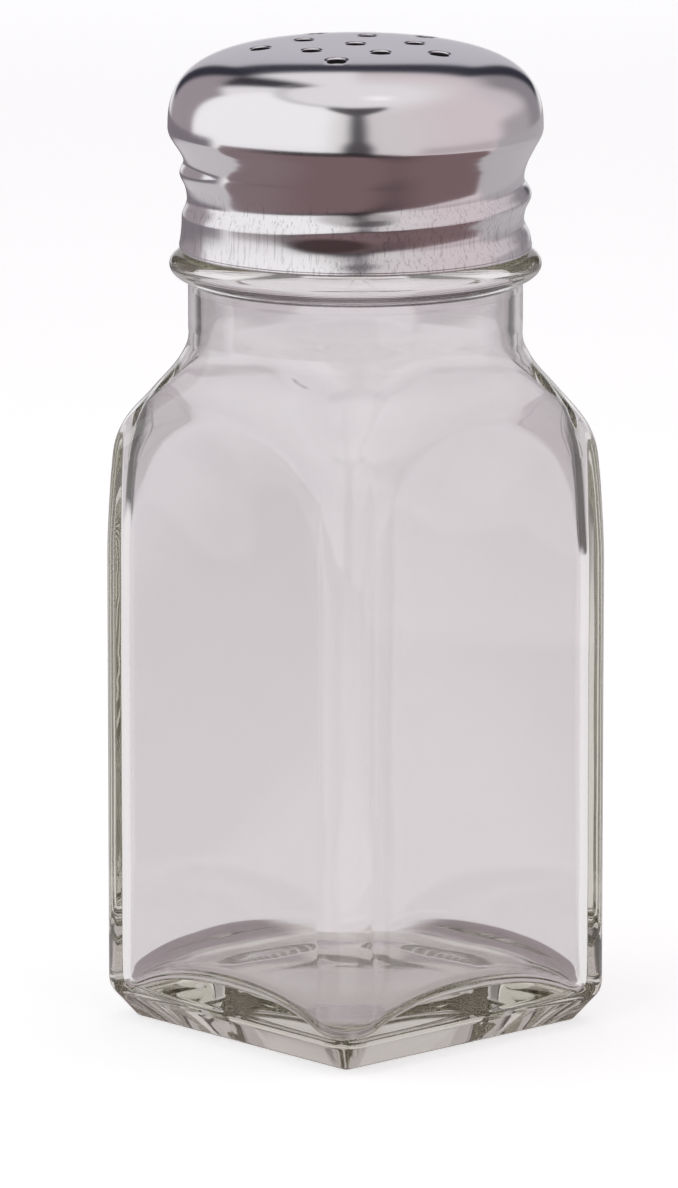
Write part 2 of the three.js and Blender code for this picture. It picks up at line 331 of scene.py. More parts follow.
def shoulder_rows():
    """Turned shoulder over the square: at each level the softened smaller of the two outlines."""
    outline = curve_through(
        [
            (27.6 * MM, SHOULDER_BLEND_HEIGHT),
            (26.5 * MM, 53.5 * MM),
            (25.75 * MM, 57.4 * MM),
            (24.95 * MM, 60.5 * MM),
            (23.9 * MM, 62.3 * MM),
            (20.95 * MM, 65.65 * MM),
            (17.75 * MM, 69.6 * MM),
            (NECK_RADIUS + 0.08 * MM, 71.0 * MM),
            (NECK_RADIUS, 72.6 * MM),
        ],
        46,
    )
    square = square_reach(ANGLES, HALF_SIDE, CORNER_RADIUS)
    radius = smooth_min(square, outline[:, :1], SHOULDER_SOFTNESS)
    return revolve(radius, outline[:, 1:], ANGLES)


# %% Neck, collar, threaded mouth and rim
def mouth_rows():
    """Straight neck, half an ellipse for the collar, then the mouth with its thread pushed out
    along a helix, and the rounded rim."""
    neck = np.stack([np.full(5, NECK_RADIUS), np.linspace(73.4, 77.35, 5) * MM], -1)
    turn = np.radians(np.linspace(-74, 90, 28))
    collar = np.stack(
        [
            FINISH_RADIUS + (COLLAR_RADIUS - FINISH_RADIUS) * np.cos(turn),
            COLLAR_MIDDLE + COLLAR_HEIGHT / 2 * np.sin(turn),
        ],
        -1,
    )
    top = RIM_TOP - 1.2 * RIM_ROUNDING
    mouth_height = np.linspace(collar[-1, 1] + 0.1 * MM, top, 50)[:, None]
    ridge = helix_height(
        ANGLES, mouth_height, CAP_FOOT + GROOVE_START + THREAD_PITCH / 2,
        -0.45, 1.3, (0.08, 0.08), (GLASS_THREAD_WIDTH, GLASS_THREAD_WIDTH),
    )
    mouth = revolve(FINISH_RADIUS + GLASS_THREAD_DEPTH * ridge, mouth_height, ANGLES)
    rim = softened(
        [(FINISH_RADIUS, top), (FINISH_RADIUS, RIM_TOP), (BORE_RADIUS, RIM_TOP), (BORE_RADIUS, top)],
        [RIM_ROUNDING, RIM_ROUNDING],
    )[1:-1]
    turned = [revolve(p[:, :1], p[:, 1:], ANGLES) for p in (neck, collar, rim)]
    return np.concatenate([turned[0], turned[1], mouth, turned[2]])


# %% Inside of the jar, from the rim down to the floor
INNER_HALF = HALF_SIDE - WALL
INNER_REACH = (INNER_HALF - INNER_CORNER) * math.sqrt(2) + INNER_CORNER


def floor_height(radius):
    """Flat in the middle, then z = floor - drop s^2.6 out to the corners."""
    s = np.maximum(radius - FLOOR_FLAT_RADIUS, 0) / (INNER_REACH - FLOOR_FLAT_RADIUS)
    return FLOOR_HEIGHT - FLOOR_DROP * s**FLOOR_DROP_POWER


def ripple(angle, height):
    """Slight unevenness of the blown inner wall: two slow waves that run round and down it."""
    wave = np.sin(height / (2.6 * MM) + 3 * angle) + np.sin(height / (4.1 * MM) - 5 * angle + 1)
    return 0.02 * MM * wave


def inside_rows():
    """Bore, inner shoulder, inner walls, the rounded inner edge of the floor, and the floor."""
    bore = np.stack([np.full(5, BORE_RADIUS), np.linspace(88.6, 84.6, 5) * MM], -1)
    shoulder = curve_through(
        [
            (BORE_RADIUS, 83.8 * MM),
            (14.85 * MM, 83.0 * MM),
            (15.4 * MM, 81.8 * MM),
            (NECK_INSIDE, 80.9 * MM),
            (NECK_INSIDE, 79.8 * MM),
            (NECK_INSIDE, 77.8 * MM),
            (NECK_INSIDE, 75.8 * MM),
            (NECK_INSIDE, 73.8 * MM),
            (NECK_INSIDE, 72.2 * MM),
            (15.8 * MM, 71.2 * MM),
            (16.25 * MM, 70.0 * MM),
            (17.2 * MM, 68.4 * MM),
            (18.2 * MM, 66.8 * MM),
            (19.6 * MM, 64.8 * MM),
            (21.4 * MM, 62.5 * MM),
            (22.8 * MM, 60.2 * MM),
            (23.7 * MM, 57.2 * MM),
            (24.4 * MM, 53.5 * MM),
            (25.4 * MM, SHOULDER_BLEND_HEIGHT),
        ],
        84,
    )
    path = np.concatenate([bore, shoulder])
    square = square_reach(ANGLES, INNER_HALF, INNER_CORNER)
    radius = smooth_min(square, path[:, :1], INNER_SOFTNESS)
    fade = smooth_rise(path[:, 1:], 75 * MM, 60 * MM)
    upper = revolve(radius + fade * ripple(ANGLES, path[:, 1:]), path[:, 1:], ANGLES)
    share = np.linspace(0, 1, 15)[1:-1, None]
    edge = floor_height(square) + FLOOR_FILLET
    height = SHOULDER_BLEND_HEIGHT * (1 - share) + edge * share
    calm = smooth_rise(height, FLOOR_HEIGHT, 3 * FLOOR_HEIGHT)
    walls = revolve(square + calm * ripple(ANGLES, height), height, ANGLES)
    turn = np.radians(np.linspace(0, 90, 10))[:, None]
    radius = square - FLOOR_FILLET * (1 - np.cos(turn))
    fillet = revolve(radius, floor_height(radius) + FLOOR_FILLET * (1 - np.sin(turn)), ANGLES)
    shrink = np.linspace(1, 0, 13)[1:-1, None]
    radius = (square - FLOOR_FILLET) * shrink
    floor = revolve(radius, floor_height(radius), ANGLES)
    return np.concatenate([upper, walls, fillet, floor])


# %% The jar's mesh
def make_jar():
    """All the rows joined into one closed skin, with a point at each pole."""
    rows = np.concatenate([base_rows(), shoulder_rows(), mouth_rows(), inside_rows()])
    count, columns = rows.shape[:2]
    points = np.concatenate([[[0, 0, RECESS_DEPTH]], rows.reshape(-1, 3), [[0, 0, FLOOR_HEIGHT]]])
    faces = fan_faces(0, np.arange(1, columns + 1), outward=True)
    faces += grid_faces(count, columns, first=1)
    last_ring = np.arange(1 + (count - 1) * columns, 1 + count * columns)
    faces += fan_faces(len(points) - 1, last_ring, outward=False)
    jar = add_mesh("jar_glass", points, faces)
    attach(jar, "jar")
    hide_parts("glass_jar")
    print("jar:", count, "rows,", len(faces), "faces")
    return jar


jar = make_jar()

# %% [markdown]
# ## The steel cap
# The cap is one drawn sheet. Its skirt carries a thread rolled in from outside, its dome swells out
# over the skirt like a mushroom, and its nearly flat crown is punched with eleven holes. The skirt
# and the dome are a profile carried round the axis, with the groove pressed in along a helix. The
# crown can't be a plain polar grid, because the holes would cut across its lines, so it is a cloud
# of points, rings of them round every hole, joined into triangles by Blender's own Delaunay tool.
# Then the whole sheet gets its thickness inward with a Solidify modifier.

# %% Profile of the cap
CROWN_FULLNESS_ACROSS = 3.6
CROWN_FULLNESS_UP = 2.65
CROWN_PATCH_RADIUS = 12.6 * MM
NECK_OF_CAP = 89.8 * MM
SKIRT_WAIST = 17.7 * MM
CAP_COLUMNS = 256
SHEET_FOOT = CAP_FOOT + 0.42 * MM


def crown_height(radius):
    """Height of the crown over a radius: (r / R)^p + (z / h)^q = 1, a squarish ellipse."""
    rise = 1 - np.clip(radius / DOME_RADIUS, 0, 1) ** CROWN_FULLNESS_ACROSS
    return EQUATOR + (CROWN_TOP - EQUATOR) * rise ** (1 / CROWN_FULLNESS_UP)


def cap_profile():
    """Skirt and the dome's underside, and then the dome up to the edge of the punched crown."""
    skirt = curve_through(
        [
            (SKIRT_RADIUS, SHEET_FOOT),
            (17.8 * MM, 82.0 * MM),
            (SKIRT_WAIST, 83.2 * MM),
            (SKIRT_WAIST, 85.4 * MM),
            (SKIRT_WAIST, 87.6 * MM),
            (SKIRT_WAIST, 89.2 * MM),
            (17.75 * MM, 89.8 * MM),
            (17.92 * MM, 90.4 * MM),
            (18.25 * MM, 91.1 * MM),
            (18.64 * MM, 91.8 * MM),
            (18.95 * MM, 92.4 * MM),
            (DOME_RADIUS, EQUATOR),
        ],
        110,
    )
    last = math.acos((CROWN_PATCH_RADIUS / DOME_RADIUS) ** (CROWN_FULLNESS_ACROSS / 2))
    turn = np.linspace(0, last, 40)[1:]
    radius = DOME_RADIUS * np.cos(turn) ** (2 / CROWN_FULLNESS_ACROSS)
    dome = np.stack([radius, crown_height(radius)], -1)
    return np.concatenate([skirt, dome])


# %% Places of the holes
def hole_centres():
    """One hole in the middle, five round it, and five further out between those."""
    fifth = 2 * math.pi / 5 * np.arange(5)
    inner = revolve(INNER_HOLE_CIRCLE, 0.0, fifth - math.pi / 2)
    outer = revolve(OUTER_HOLE_CIRCLE, 0.0, fifth + math.pi / 2)
    return np.concatenate([[[0.0, 0.0, 0.0]], inner, outer])[:, :2]


HOLES = hole_centres()
PUNCH_DIP = 0.13 * MM
PUNCH_REACH = 0.5 * MM
HOLE_SIDES = 36


def punched_height(x, y):
    """Crown height, less the dip that the punch draws down round each hole."""
    height = crown_height(np.hypot(x, y))
    for hole_x, hole_y in HOLES:
        beyond = np.hypot(x - hole_x, y - hole_y) - HOLE_RADIUS
        height = height - PUNCH_DIP * (1 - smooth_rise(beyond, 0, PUNCH_REACH)) ** 2
    return height


# %% Triangles of the punched crown
def crown_plan():
    """Points of the crown seen from above: rings round each hole, and rings round the axis that
    keep clear of them, closer together than the dip is wide."""
    turn = 2 * math.pi * np.arange(HOLE_SIDES) / HOLE_SIDES
    rings = HOLE_RADIUS + PUNCH_REACH * np.array([0.0, 0.08, 0.2, 0.36, 0.6, 0.95])
    circle = np.stack([np.cos(turn), np.sin(turn)], -1)
    around = [hole + ring * circle for hole in HOLES for ring in rings]
    field = []
    for ring in np.linspace(0, CROWN_PATCH_RADIUS, 35)[1:-1]:
        count = max(8, int(2 * math.pi * ring / (0.38 * MM)))
        turn = 2 * math.pi * (np.arange(count) + 0.5 * (len(field) % 2)) / count
        field.append(ring * np.stack([np.cos(turn), np.sin(turn)], -1))
    field = np.concatenate(field)
    gap = np.linalg.norm(field[:, None] - HOLES[None], axis=-1).min(1)
    field = field[gap > HOLE_RADIUS + 1.25 * PUNCH_REACH]
    turn = 2 * math.pi * np.arange(CAP_COLUMNS) / CAP_COLUMNS
    edge = CROWN_PATCH_RADIUS * np.stack([np.cos(turn), np.sin(turn)], -1)
    return np.concatenate([edge, *around, field])


def crown_patch():
    """Points and triangles of the crown, whose first points are the ring it shares with the dome."""
    plan = crown_plan()
    found = delaunay_2d_cdt([Vector(p) for p in plan], [], [], 0, 1e-9)
    plan = np.array([tuple(v) for v in found[0]])
    triangles = np.array([f for f in found[2] if len(f) == 3])
    middle = plan[triangles].mean(1)
    gap = np.linalg.norm(middle[:, None] - HOLES[None], axis=-1).min(1)
    triangles = triangles[gap > HOLE_RADIUS]
    side_a = plan[triangles[:, 1]] - plan[triangles[:, 0]]
    side_b = plan[triangles[:, 2]] - plan[triangles[:, 0]]
    clockwise = side_a[:, 0] * side_b[:, 1] < side_a[:, 1] * side_b[:, 0]
    triangles[clockwise] = triangles[clockwise][:, ::-1]
    height = punched_height(plan[:, 0], plan[:, 1])
    return np.column_stack([plan, height]), triangles


# %% The cap's mesh
GROOVE_FIRST_TURN = -0.2
GROOVE_TURNS = 1.96
BEAD_FIRST_TURN = -0.17
BEAD_TURNS = 0.95


def make_cap():
    """Sheet of steel: the turned skirt and dome with the groove and the bead that the thread roller
    leaves between its coils, and the crown joined at its ring."""
    angle = 2 * math.pi * np.arange(CAP_COLUMNS) / CAP_COLUMNS
    profile = cap_profile()[:-1]
    groove = helix_height(
        angle, profile[:, 1:], CAP_FOOT + GROOVE_START, GROOVE_FIRST_TURN, GROOVE_TURNS,
        (0.08, 0.25), GROOVE_WIDTHS,
    )
    bead = helix_height(
        angle, profile[:, 1:], CAP_FOOT + GROOVE_START + BEAD_ABOVE_GROOVE, BEAD_FIRST_TURN,
        BEAD_TURNS, (0.1, 0.12), (BEAD_WIDTH, BEAD_WIDTH),
    )
    on_skirt = 1 - smooth_rise(profile[:, 1:], NECK_OF_CAP, EQUATOR)
    rolled = (BEAD_HEIGHT * bead - GROOVE_DEPTH * groove) * on_skirt
    side = revolve(profile[:, :1] + rolled, profile[:, 1:], angle)
    crown, triangles = crown_patch()
    rows = len(side)
    offset = rows * CAP_COLUMNS
    points = np.concatenate([side.reshape(-1, 3), crown])
    faces = grid_faces(rows, CAP_COLUMNS)
    low = offset - CAP_COLUMNS + np.arange(CAP_COLUMNS)
    high = offset + np.arange(CAP_COLUMNS)
    faces += np.stack([low, np.roll(low, -1), np.roll(high, -1), high], -1).tolist()
    faces += (triangles + offset).tolist()
    cap = add_mesh("cap_sheet", points, faces)
    solidify = cap.modifiers.new("sheet thickness", "SOLIDIFY")
    solidify.thickness = SHEET
    solidify.offset = -1.0
    solidify.use_even_offset = False
    apply_modifiers(cap)
    mark_hole_walls(cap.data)
    cap.data.set_sharp_from_angle(angle=math.radians(48))
    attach(cap, "cap")
    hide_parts("shaker_cap")
    print("cap:", len(faces), "faces before thickness,", len(cap.data.polygons), "after")
    return cap


def apply_modifiers(obj):
    """Puts the result of the modifiers into the mesh itself."""
    graph = bpy.context.evaluated_depsgraph_get()
    finished = bpy.data.meshes.new_from_object(obj.evaluated_get(graph))
    obj.modifiers.clear()
    obj.data = finished


def mark_hole_walls(mesh):
    """Second finish, nearly black as painted shade, for the upright faces of the crown, which are the walls
    of the holes.
    """
    normal, centre = np.empty((2, len(mesh.polygons) * 3))
    mesh.polygons.foreach_get("normal", normal)
    mesh.polygons.foreach_get("center", centre)
    x, y, z = centre.reshape(-1, 3).T
    upright = np.abs(normal.reshape(-1, 3)[:, 2]) < 0.5
    wall = upright & (np.hypot(x, y) < CROWN_PATCH_RADIUS) & (z > EQUATOR)
    mesh.polygons.foreach_set("material_index", wall.astype(np.int32))
    print("faces in the walls of the holes:", int(wall.sum()))


cap = make_cap()

# %% [markdown]
# ## The hem
# The foot of the skirt is curled in on itself, so that it has no sharp edge. In the working model
# the hem rises with the cap but doesn't turn, which can't be seen on a round bead. It is a ring
# whose section is nearly round, and the foot of the sheet stands in it.


# %% The hem's mesh
HEM_SIDES = 28
HEM_HALF_WIDTH = 0.25 * MM
HEM_HALF_HEIGHT = 0.205 * MM


def make_hem():
    """Bead carried round the axis: the section is an ellipse, a little wider than it is high."""
    angle = 2 * math.pi * np.arange(CAP_COLUMNS) / CAP_COLUMNS
    turn = 2 * math.pi * np.arange(HEM_SIDES + 1)[:, None] / HEM_SIDES - math.pi / 2
    radius = SKIRT_RADIUS - HEM_HALF_WIDTH + HEM_HALF_WIDTH * np.cos(turn)
    height = CAP_FOOT + HEM_HALF_HEIGHT + HEM_HALF_HEIGHT * np.sin(turn)
    points = revolve(radius, height, angle)[:-1].reshape(-1, 3)
    faces = grid_faces(HEM_SIDES, CAP_COLUMNS)
    first = np.arange(CAP_COLUMNS)
    ends = [(HEM_SIDES - 1) * CAP_COLUMNS + first, first]
    faces += np.stack([ends[0], np.roll(ends[0], -1), np.roll(ends[1], -1), ends[1]], -1).tolist()
    hem = add_mesh("hem_bead", points, faces)
    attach(hem, "cap_foot")
    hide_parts("cap_hem")
    print("hem:", len(faces), "faces")
    return hem


hem = make_hem()

# %% [markdown]
# ## Finishes
# Materials are small node trees. One helper makes the tree and another adds a node with its values,
# so that each finish below reads as a short list of what it is made of.


# %% Node helpers
def new_material(name):
    """Empty material with its output and a Principled shader joined."""
    material = bpy.data.materials.new(name)
    material.use_nodes = True
    nodes = material.node_tree.nodes
    return material, material.node_tree, nodes["Principled BSDF"], nodes["Material Output"]


def add_node(tree, kind, inputs=None, **settings):
    """A node with its settings, and with its inputs set to values or joined to sockets."""
    node = tree.nodes.new(kind)
    for name, value in settings.items():
        setattr(node, name, value)
    for name, value in (inputs or {}).items():
        if isinstance(value, bpy.types.NodeSocket):
            tree.links.new(value, node.inputs[name])
        else:
            node.inputs[name].default_value = value
    return node


def calculate(tree, operation, first, second, **settings):
    """Result of one sum on two values or sockets."""
    inputs = {0: first, 1: second}
    return add_node(tree, "ShaderNodeMath", inputs, operation=operation, **settings).outputs["Value"]


# %% [markdown]
# ### Glass
# Clear soda-lime glass bends light with an index of about 1.52. Where it is thick, in the base and
# the corners, it shows a faint olive tint, which is light lost along the way, so it belongs in the
# volume. The surface has a pale grey besides, because the tint that suits the edges leaves the
# thin walls lighter than in the photograph. A soft bump gives the slow waves that a mould leaves.
# The recess under the base is left dull by its mould, so the glass is rough there.


# %% Glass material
GLASS_INDEX = 1.52
GLASS_COLOUR = (0.85, 0.826, 0.842, 1)
GLASS_TINT = (0.66, 0.652, 0.55, 1)
TINT_DENSITY = 23.0
DULL_ROUGHNESS = 0.08
WAVE_SCALE = 22.0
WAVE_DEPTH = 0.6 * MM


def glass_finish():
    """Clear glass with its tint in the volume, slow waves on the skin and a dull recess."""
    material, tree, shader, output = new_material("clear_glass")
    coordinates = add_node(tree, "ShaderNodeTexCoord").outputs["Object"]
    waves = add_node(tree, "ShaderNodeTexNoise", {"Vector": coordinates, "Scale": WAVE_SCALE, "Detail": 0.0})
    bump = add_node(
        tree, "ShaderNodeBump",
        {"Height": waves.outputs["Fac"], "Strength": 0.25, "Distance": WAVE_DEPTH},
    )
    shader.inputs["Base Color"].default_value = GLASS_COLOUR
    from_recess = add_node(
        tree, "ShaderNodeVectorMath", {0: coordinates, 1: (1.0, 1.0, 8.0)}, operation="MULTIPLY"
    ).outputs["Vector"]
    distance = add_node(tree, "ShaderNodeVectorMath", {0: from_recess}, operation="LENGTH").outputs["Value"]
    frosted = add_node(
        tree, "ShaderNodeMapRange",
        {"Value": distance, "From Min": RECESS_RADIUS, "From Max": RECESS_RADIUS + 3 * MM,
         "To Min": DULL_ROUGHNESS, "To Max": 0.0},
        interpolation_type="SMOOTHSTEP",
    ).outputs["Result"]
    tree.links.new(frosted, shader.inputs["Roughness"])
    shader.inputs["IOR"].default_value = GLASS_INDEX
    shader.inputs["Transmission Weight"].default_value = 1.0
    tree.links.new(bump.outputs["Normal"], shader.inputs["Normal"])
    absorption = add_node(
        tree, "ShaderNodeVolumeAbsorption", {"Color": GLASS_TINT, "Density": TINT_DENSITY}
    )
    tree.links.new(absorption.outputs["Volume"], output.inputs["Volume"])
    return material


jar.data.materials.append(glass_finish())


# %% [markdown]
# ### Steel
# The dome is polished and the skirt a little duller, with upright scratches and grime in them. Two
# dark patches on the skirt, on the groove and the bead, are painted dark reflections, laid into the
# metal's colour. The grime comes from a noise stretched along the height, and the patches from the
# distance to two places. The walls of the holes are torn metal with a rough, nearly black finish,
# which is painted shade.


# %% Steel material
STEEL_COLOUR = (0.78, 0.765, 0.775, 1)
# Colour for the grime in the scratches and for the painted dark reflections on the skirt.
GRIME_AND_DARK_REFLECTION_COLOUR = (0.22, 0.2, 0.2, 1)
DOME_ROUGHNESS = 0.13
SKIRT_ROUGHNESS = 0.2
SCRATCH_SCALE = 3600.0
SCRATCH_DEPTH = 0.03 * MM
TORN_SCALE = 9000.0
DARK_REFLECTION_CORE = 2.8 * MM
DARK_REFLECTION_EDGE = 5.2 * MM
# Places and strengths of two painted dark reflections on the skirt, on the groove and on the bead.
PAINTED_DARK_REFLECTIONS = [
    ((10.84 * MM, -13.48 * MM, 83.7 * MM), 0.9),
    ((13.2 * MM, -12.1 * MM, 86.4 * MM), 0.5),
]


def steel_finish(name):
    """Polished sheet with upright scratches; on the skirt, dirt in the scratches and two painted dark
    reflections.
    """
    material, tree, shader, output = new_material(name)
    coordinates = add_node(tree, "ShaderNodeTexCoord").outputs["Object"]
    upright = add_node(tree, "ShaderNodeMapping", {"Vector": coordinates, "Scale": (1.0, 1.0, 0.018)})
    scratches = add_node(
        tree, "ShaderNodeTexNoise",
        {"Vector": upright.outputs["Vector"], "Scale": SCRATCH_SCALE, "Detail": 3.0, "Roughness": 0.7},
    )
    height = add_node(tree, "ShaderNodeSeparateXYZ", {"Vector": coordinates}).outputs["Z"]
    on_skirt = add_node(
        tree, "ShaderNodeMapRange",
        {"Value": height, "From Min": 88.5 * MM, "From Max": 86 * MM, "To Min": 0.0, "To Max": 1.0},
        interpolation_type="SMOOTHSTEP",
    ).outputs["Result"]
    strength = calculate(tree, "MULTIPLY", on_skirt, 0.2)
    bump = add_node(
        tree, "ShaderNodeBump",
        {"Height": scratches.outputs["Fac"], "Strength": strength, "Distance": SCRATCH_DEPTH},
    )
    roughness = add_node(
        tree, "ShaderNodeMapRange",
        {"Value": on_skirt, "To Min": DOME_ROUGHNESS, "To Max": SKIRT_ROUGHNESS},
    ).outputs["Result"]
    grime_and_dark_reflection = add_node(
        tree, "ShaderNodeMapRange",
        {"Value": scratches.outputs["Fac"], "From Min": 0.36, "From Max": 0.47,
         "To Min": 0.35, "To Max": 0.0},
    ).outputs["Result"]
    grime_and_dark_reflection = calculate(tree, "MULTIPLY", grime_and_dark_reflection, on_skirt)
    # Each painted dark reflection darkens the metal's colour round its place.
    for place, amount in PAINTED_DARK_REFLECTIONS:
        away = add_node(
            tree, "ShaderNodeVectorMath", {0: coordinates, 1: place}, operation="SUBTRACT"
        ).outputs["Vector"]
        away = add_node(
            tree, "ShaderNodeVectorMath", {0: away, 1: (1.0, 1.0, 5.5)}, operation="MULTIPLY"
        ).outputs["Vector"]
        distance = add_node(tree, "ShaderNodeVectorMath", {0: away}, operation="LENGTH").outputs["Value"]
        painted_reflection = add_node(
            tree, "ShaderNodeMapRange",
            {"Value": distance, "From Min": DARK_REFLECTION_CORE, "From Max": DARK_REFLECTION_EDGE,
             "To Min": amount, "To Max": 0.0},
            interpolation_type="SMOOTHSTEP",
        ).outputs["Result"]
        grime_and_dark_reflection = calculate(tree, "MAXIMUM", grime_and_dark_reflection, painted_reflection)
    # The metal's colour, darkened by the grime and by the painted dark reflections.
    colours = {"Factor": grime_and_dark_reflection, "A": STEEL_COLOUR, "B": GRIME_AND_DARK_REFLECTION_COLOUR}
    colour = add_node(tree, "ShaderNodeMix", colours, data_type="RGBA")
    tree.links.new(colour.outputs["Result"], shader.inputs["Base Color"])
    shader.inputs["Metallic"].default_value = 1.0
    tree.links.new(roughness, shader.inputs["Roughness"])
    tree.links.new(bump.outputs["Normal"], shader.inputs["Normal"])
    return material


def hole_wall_painted_shade_finish():
    """Rough dull metal where the punch and the shears cut the sheet. Its nearly black colour is painted
    shade.
    """
    material, tree, shader, output = new_material("cut_edge_painted_shade")
    coordinates = add_node(tree, "ShaderNodeTexCoord").outputs["Object"]
    torn = add_node(tree, "ShaderNodeTexNoise", {"Vector": coordinates, "Scale": TORN_SCALE, "Detail": 2.0})
    bump = add_node(
        tree, "ShaderNodeBump",
        {"Height": torn.outputs["Fac"], "Strength": 0.5, "Distance": SCRATCH_DEPTH},
    )
    # Nearly black: painted shade for the walls inside the holes.
    shader.inputs["Base Color"].default_value = (0.03, 0.03, 0.032, 1)
    shader.inputs["Specular IOR Level"].default_value = 0.15
    shader.inputs["Roughness"].default_value = 0.8
    tree.links.new(bump.outputs["Normal"], shader.inputs["Normal"])
    return material


steel = steel_finish("polished_steel")
cap.data.materials.append(steel)
cap.data.materials.append(hole_wall_painted_shade_finish())
hem.data.materials.append(steel)

# %% [markdown]
# ## Floor and light tent
# Glass and polished steel have little colour of their own: they show what is round them. The dome
# in the photograph reads like a light tent: a bright cloth on the left, a dimmer one on the right,
# a dark slit between them for the lens, and a dark table in front. The tent here is a shell round
# the object and a cloth on the ground, which give light but are hidden from the camera. Their
# brightness is a formula of direction, kept as colours on their points.


# %% Floor
FLOOR_RADIUS = 6.0
FLOOR_SIDES = 64
FLOOR_LEVEL = -0.03 * MM
FLOOR_GLOW = 0.63


def seen_by_eye_metal_or_glass(tree):
    """1 for a ray from the camera, from metal or through glass, and 0 for the light that falls."""
    path = add_node(tree, "ShaderNodeLightPath")
    direct = calculate(tree, "ADD", path.outputs["Is Camera Ray"], path.outputs["Is Glossy Ray"])
    return calculate(tree, "ADD", direct, path.outputs["Is Transmission Ray"], use_clamp=True)


def make_floor():
    """A wide disc just under the base, as rings of points."""
    radius = np.array([0.05, 0.2, 0.6, 1.5, 3.0, FLOOR_RADIUS])[:, None]
    angle = 2 * math.pi * np.arange(FLOOR_SIDES) / FLOOR_SIDES
    rings = revolve(radius, FLOOR_LEVEL, angle).reshape(-1, 3)
    points = np.concatenate([[[0, 0, FLOOR_LEVEL]], rings])
    faces = fan_faces(0, np.arange(1, FLOOR_SIDES + 1), outward=False)
    faces += [face[::-1] for face in grid_faces(len(radius), FLOOR_SIDES, first=1)]
    floor = add_mesh("floor", points, faces)
    material, tree, shader, output = new_material("pale_floor")
    shader.inputs["Base Color"].default_value = (0.6, 0.6, 0.6, 1)
    shader.inputs["Roughness"].default_value = 1.0
    shader.inputs["Specular IOR Level"].default_value = 0.0
    glow = calculate(tree, "MULTIPLY", seen_by_eye_metal_or_glass(tree), FLOOR_GLOW)
    shader.inputs["Emission Color"].default_value = (1, 1, 1, 1)
    tree.links.new(glow, shader.inputs["Emission Strength"])
    floor.data.materials.append(material)
    return floor


floor = make_floor()

# %% Directions about the cap, as the camera sees them
TENT_RADIUS = 0.82
TENT_EYE = 0.09


def flat_direction(azimuth):
    """Level unit vectors, where azimuth 0 degrees is toward the camera and grows to its right."""
    turn = np.radians(azimuth)[..., None]
    return np.sin(turn) * np.array(VIEW_RIGHT) - np.cos(turn) * np.array(VIEW_AWAY)


def window(value, low, high, soft):
    """1 between two values, falling smoothly to 0 over a soft edge on either side."""
    return smooth_rise(value, low - soft, low + soft) * (1 - smooth_rise(value, high - soft, high + soft))


def lay(light, colour, mask):
    """The light with a colour laid over it as far as the mask says: a mix of the two."""
    return light + mask[..., None] * (np.array(colour) - light)


# %% [markdown]
# ### What the steel shows
# A dome shows nearly the whole room, so each patch of it can be traced back to a direction. The
# formulas below lay one soft-edged window over another, in degrees of azimuth and elevation. That
# is quicker to judge against the photograph than lamps, which would also light the floor.


# %% The tent as the steel shows it
LEFT_WALL = (1.06, 1.05, 1.07)
TABLE = (0.215, 0.145, 0.155)
DARK = (0.045, 0.04, 0.05)


def spot(azimuth, elevation, middle, size):
    """1 at a direction, fading to 0 at an angular distance. The distance comes from the cosine of
    the angle between the two directions."""
    high = np.radians(elevation)
    cosine = np.sin(high) * math.sin(math.radians(middle[1]))
    level = np.cos(high) * math.cos(math.radians(middle[1]))
    cosine = cosine + level * np.cos(np.radians(azimuth - middle[0]))
    away = np.degrees(np.arccos(np.clip(cosine, -1, 1)))
    return 1 - smooth_rise(away, 0, size)


def tent_in_steel(azimuth, elevation):
    """Brightness and colour by direction. Each part is laid over the last one."""
    behind = np.abs(azimuth)
    light = np.ones((*azimuth.shape, 3)) * np.array([0.9, 0.88, 0.9])
    low = window(elevation, -90, 56, 16)
    light = lay(light, (0.76, 0.72, 0.73), window(azimuth, 6, 200, 3) * low)
    light = lay(light, (0.76, 0.67, 0.7), window(azimuth, 45, 200, 25) * low)
    light = lay(light, (0.66, 0.61, 0.64), window(azimuth, 112, 200, 14) * window(elevation, -90, 45, 10))
    low_right = window(azimuth, 100, 200, 8) * (1 - smooth_rise(elevation, 2, 14))
    light = lay(light, (0.45, 0.42, 0.44), low_right)
    light = lay(light, (0.3, 0.28, 0.3), window(azimuth, 133, 200, 9) * window(elevation, -90, 40, 8))
    wall = smooth_rise(azimuth, -125, -110) * (1 - smooth_rise(azimuth, -4, 0))
    light = lay(light, LEFT_WALL, wall * window(elevation, -90, 62, 4))
    light = lay(light, (0.82, 0.8, 0.8), window(azimuth, -14, 0, 10) * window(elevation, -90, 60, 6))
    light = lay(light, (0.37, 0.325, 0.35), window(azimuth, -163, -118, 3) * window(elevation, -90, 38, 4))
    line = 1 - 0.75 * smooth_rise(azimuth, -150, -132)
    light = lay(light, DARK, line * window(azimuth, -156, -14, 7) * window(elevation, 61, 66, 2))
    light = lay(light, DARK, window(azimuth, -158, -136, 6) * window(elevation, 37, 62, 4))
    light = lay(light, (0.03, 0.03, 0.045), window(behind, 155, 200, 3) * window(elevation, -1, 41, 3))
    light = lay(light, (0.56, 0.54, 0.59), window(behind, 166, 200, 1.5) * window(elevation, -2, 28, 2))
    light = lay(light, (0.9, 0.89, 0.9), window(behind, 158, 200, 6) * window(elevation, -90, 0, 2))
    half = 5.6 + 24 * smooth_rise(elevation, 44, 62) + 4 * (1 - smooth_rise(elevation, -6, 4))
    light = lay(light, DARK, 0.95 * window(azimuth - 1.5, -half, half, 4) * window(elevation, -90, 63, 3))
    return lay(light, (1.15, 1.14, 1.16), spot(azimuth, elevation, (60, 80), 9))


